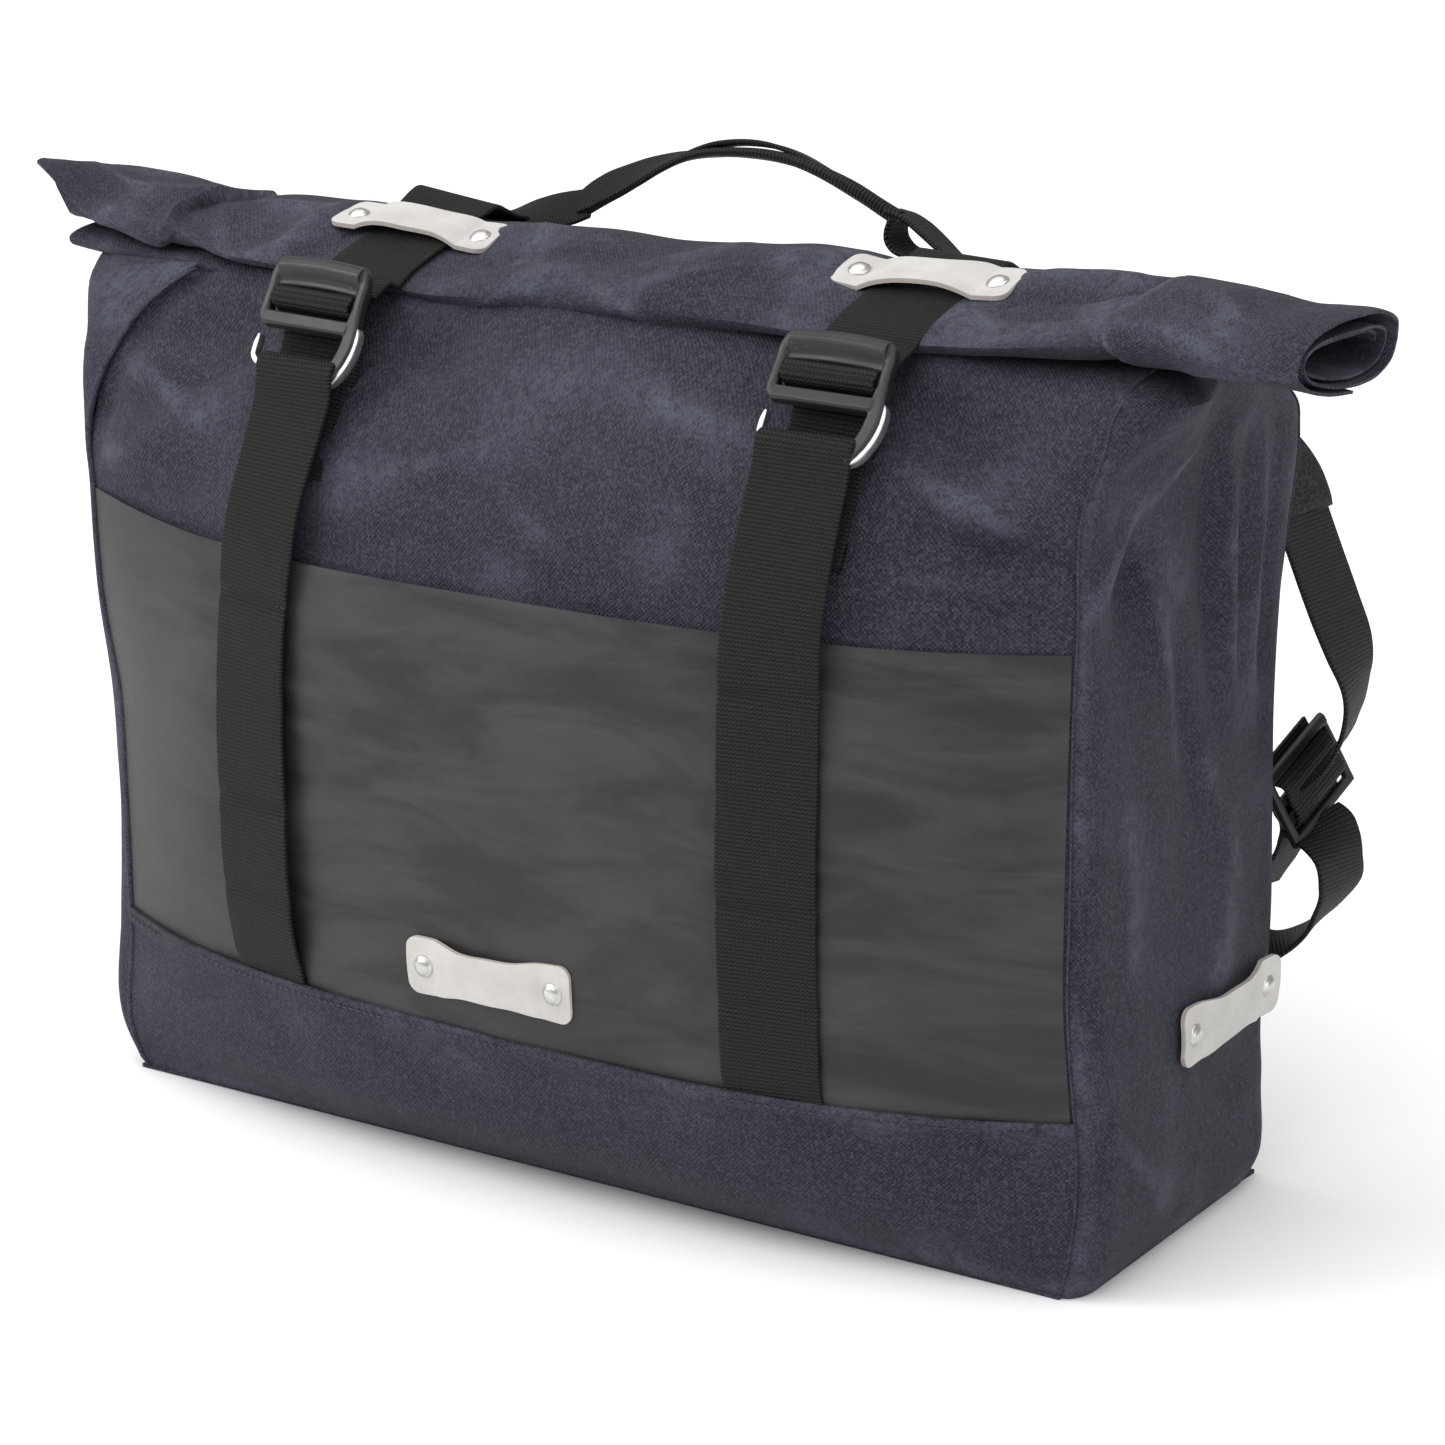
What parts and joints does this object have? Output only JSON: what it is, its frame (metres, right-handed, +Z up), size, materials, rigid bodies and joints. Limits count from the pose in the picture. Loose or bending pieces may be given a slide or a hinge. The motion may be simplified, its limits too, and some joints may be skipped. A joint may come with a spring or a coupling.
{
  "type": "messenger bag",
  "caption": "Roll-top canvas messenger bag with rubber front pocket, hooked closure straps, grab handle and a pair of shoulder straps, closed and standing upright.",
  "frame": {"origin": "middle of the base, on the ground", "axes": "+X to the bag's right seen from the front, +Y to its back, +Z up"},
  "size_m": [0.5524, 0.2454, 0.3717],
  "materials": {
    "waxed_canvas": "matte waxed canvas",
    "pocket_rubber": "matte sheet rubber",
    "pad_rubber": "matte padded face",
    "black_webbing": "ribbed webbing",
    "black_plastic": "satin moulded",
    "board_plastic": "plain sheet",
    "foam": "closed-cell foam",
    "pale_leather": "smooth",
    "rivet_steel": "polished",
    "hook_steel": "satin"
  },
  "bodies": {
    "bag": {"front_panel": "waxed_canvas", "front_pocket": "pocket_rubber", "front_base_strip": "waxed_canvas", "left_gusset": "waxed_canvas", "right_gusset": "waxed_canvas", "back_panel": "waxed_canvas", "bottom_panel": "waxed_canvas", "roll_top": "waxed_canvas", "base_board": "board_plastic", "back_foam": "foam", "left_front_strap": "black_webbing", "right_front_strap": "black_webbing", "left_top_strap": "black_webbing", "right_top_strap": "black_webbing", "left_strap_tail": "black_webbing", "right_strap_tail": "black_webbing", "left_strap_keeper": "pale_leather", "right_strap_keeper": "pale_leather", "left_keeper_rivets": "rivet_steel", "right_keeper_rivets": "rivet_steel", "front_light_loop": "pale_leather", "front_loop_rivets": "rivet_steel", "side_light_loop": "pale_leather", "side_loop_rivets": "rivet_steel", "left_handle_tab": "black_webbing", "right_handle_tab": "black_webbing", "left_upper_anchor": "black_webbing", "right_upper_anchor": "black_webbing", "left_lower_anchor": "black_webbing", "right_lower_anchor": "black_webbing"},
    "left_buckle": {"left_buckle_frame": "black_plastic", "left_buckle_hook": "hook_steel", "left_strap_wrap": "black_webbing"},
    "right_buckle": {"right_buckle_frame": "black_plastic", "right_buckle_hook": "hook_steel", "right_strap_wrap": "black_webbing"},
    "handle": {"handle": "black_webbing"},
    "left_shoulder_strap": {"left_shoulder_pad": "pad_rubber", "left_shoulder_webbing": "black_webbing", "left_strap_adjuster": "black_plastic", "left_lower_webbing": "black_webbing"},
    "right_shoulder_strap": {"right_shoulder_pad": "pad_rubber", "right_shoulder_webbing": "black_webbing", "right_strap_adjuster": "black_plastic", "right_lower_webbing": "black_webbing"}
  },
  "joints": [
    {"name": "left_buckle_tilt", "type": "hinge", "parent": "bag", "child": "left_buckle", "pos_m": [-0.1135, -0.088, 0.295], "axis": [1, 0, 0], "range_deg": [0, 35]},
    {"name": "right_buckle_tilt", "type": "hinge", "parent": "bag", "child": "right_buckle", "pos_m": [0.1135, -0.088, 0.295], "axis": [1, 0, 0], "range_deg": [0, 35]},
    {"name": "handle_swing", "type": "hinge", "parent": "bag", "child": "handle", "pos_m": [0, 0.038, 0.344], "axis": [1, 0, 0], "range_deg": [-100, 60]},
    {"name": "left_shoulder_swing", "type": "hinge", "parent": "bag", "child": "left_shoulder_strap", "pos_m": [-0.098, 0.0794, 0.262], "axis": [-0.4553, 0, -0.8903], "range_deg": [0, 70]},
    {"name": "right_shoulder_swing", "type": "hinge", "parent": "bag", "child": "right_shoulder_strap", "pos_m": [0.098, 0.0794, 0.262], "axis": [-0.4553, 0, 0.8903], "range_deg": [0, 70]}
  ]
}
